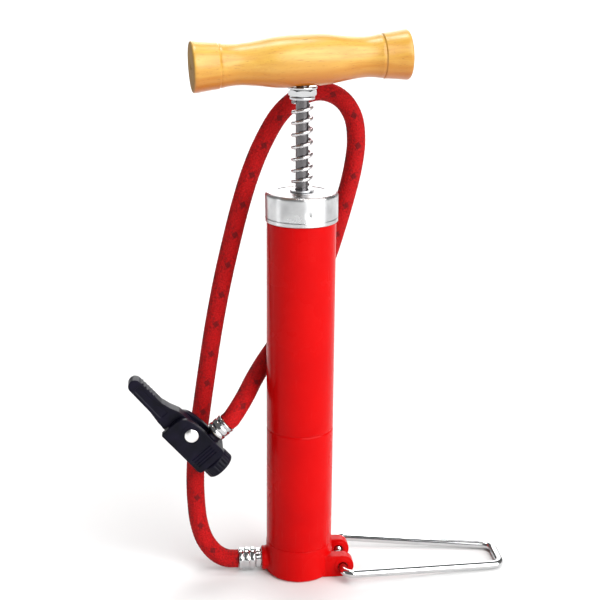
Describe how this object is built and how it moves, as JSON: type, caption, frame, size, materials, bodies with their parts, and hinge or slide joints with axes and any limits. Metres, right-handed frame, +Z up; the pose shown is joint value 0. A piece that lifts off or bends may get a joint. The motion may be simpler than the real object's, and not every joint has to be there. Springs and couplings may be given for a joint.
{
  "type": "ball inflation pump",
  "caption": "Upright hand pump with a wooden cross handle, steel barrel, folding wire stirrup, and a braided hose ending in a thumb-lock valve head.",
  "frame": {"origin": "on the barrel axis at the underside of the base", "axes": "+Z up the barrel to the handle, +X out along the stirrup, the hose leaves the base towards -X"},
  "size_m": [0.2008, 0.0564, 0.2877],
  "materials": {
    "red_paint": "gloss enamel",
    "chrome": "polished",
    "zinc_steel": "bright zinc",
    "spring_steel": "bright",
    "rod_steel": "ground",
    "brass": "satin",
    "wood": "clear varnish",
    "black_plastic": "satin moulding",
    "rubber": "matte",
    "leather": "oiled",
    "felt": "matte",
    "braid": "woven textile over rubber"
  },
  "bodies": {
    "barrel": {"base_casting": "red_paint", "base_o_ring": "rubber", "barrel_tube": "red_paint", "top_cap": "chrome", "rod_guide_bush": "brass", "rod_wiper": "felt", "check_valve_seat": "brass", "check_valve_spring": "spring_steel", "outlet_nipple": "chrome", "base_ferrule": "chrome", "hose": "braid", "head_ferrule": "chrome", "head_nipple": "brass", "head_body": "black_plastic", "head_cap": "black_plastic", "valve_grommet": "rubber", "lever_pin": "chrome", "spring_bottom_washer": "zinc_steel", "buffer_spring": "spring_steel"},
    "buffer": {"spring_top_washer": "zinc_steel"},
    "piston": {"piston_front_washer": "zinc_steel", "piston_cup": "leather", "piston_back_washer": "zinc_steel"},
    "rod": {"piston_rod": "rod_steel", "piston_nut": "zinc_steel", "piston_lock_nut": "zinc_steel", "jam_nut": "chrome", "handle_washer": "chrome", "handle": "wood", "handle_plug": "wood", "handle_top_washer": "zinc_steel", "handle_top_nut": "zinc_steel"},
    "stirrup": {"stirrup": "chrome"},
    "lever": {"lever": "black_plastic"},
    "plunger": {"plunger": "brass"},
    "valve_ball": {"check_valve_ball": "zinc_steel"}
  },
  "joints": [
    {"name": "spring_compress", "type": "slide", "parent": "barrel", "child": "buffer", "axis": [0, 0, -1], "range_m": [0, 0.02], "stiffness_N_per_m": 4000, "springref_m": -0.001, "deforming": ["buffer_spring"]},
    {"name": "rod_stroke", "type": "slide", "parent": "buffer", "child": "piston", "axis": [0, 0, 1], "range_m": [0, 0.126]},
    {"name": "handle_spin", "type": "hinge", "parent": "piston", "child": "rod", "pos_m": [0, 0, 0.2], "axis": [0, 0, 1], "continuous": true},
    {"name": "stirrup_fold", "type": "hinge", "parent": "barrel", "child": "stirrup", "pos_m": [0.0225, 0, 0.0062], "axis": [0, -1, 0], "range_deg": [0, 92]},
    {"name": "lever_pivot", "type": "hinge", "parent": "barrel", "child": "lever", "pos_m": [-0.057, -0.007, 0.0857], "axis": [0, -1, 0], "range_deg": [0, 90]},
    {"name": "plunger_slide", "type": "slide", "parent": "barrel", "child": "plunger", "axis": [0.6626, 0, -0.749], "range_m": [0, 0.0012]},
    {"name": "valve_lift", "type": "slide", "parent": "barrel", "child": "valve_ball", "axis": [0, 0, -1], "range_m": [0, 0.0015], "stiffness_N_per_m": 60, "springref_m": -0.0015, "deforming": ["check_valve_spring"]}
  ],
  "couplings": [
    {"joint": "plunger_slide", "follows": "lever_pivot", "m_per_rad": 0.00076}
  ]
}
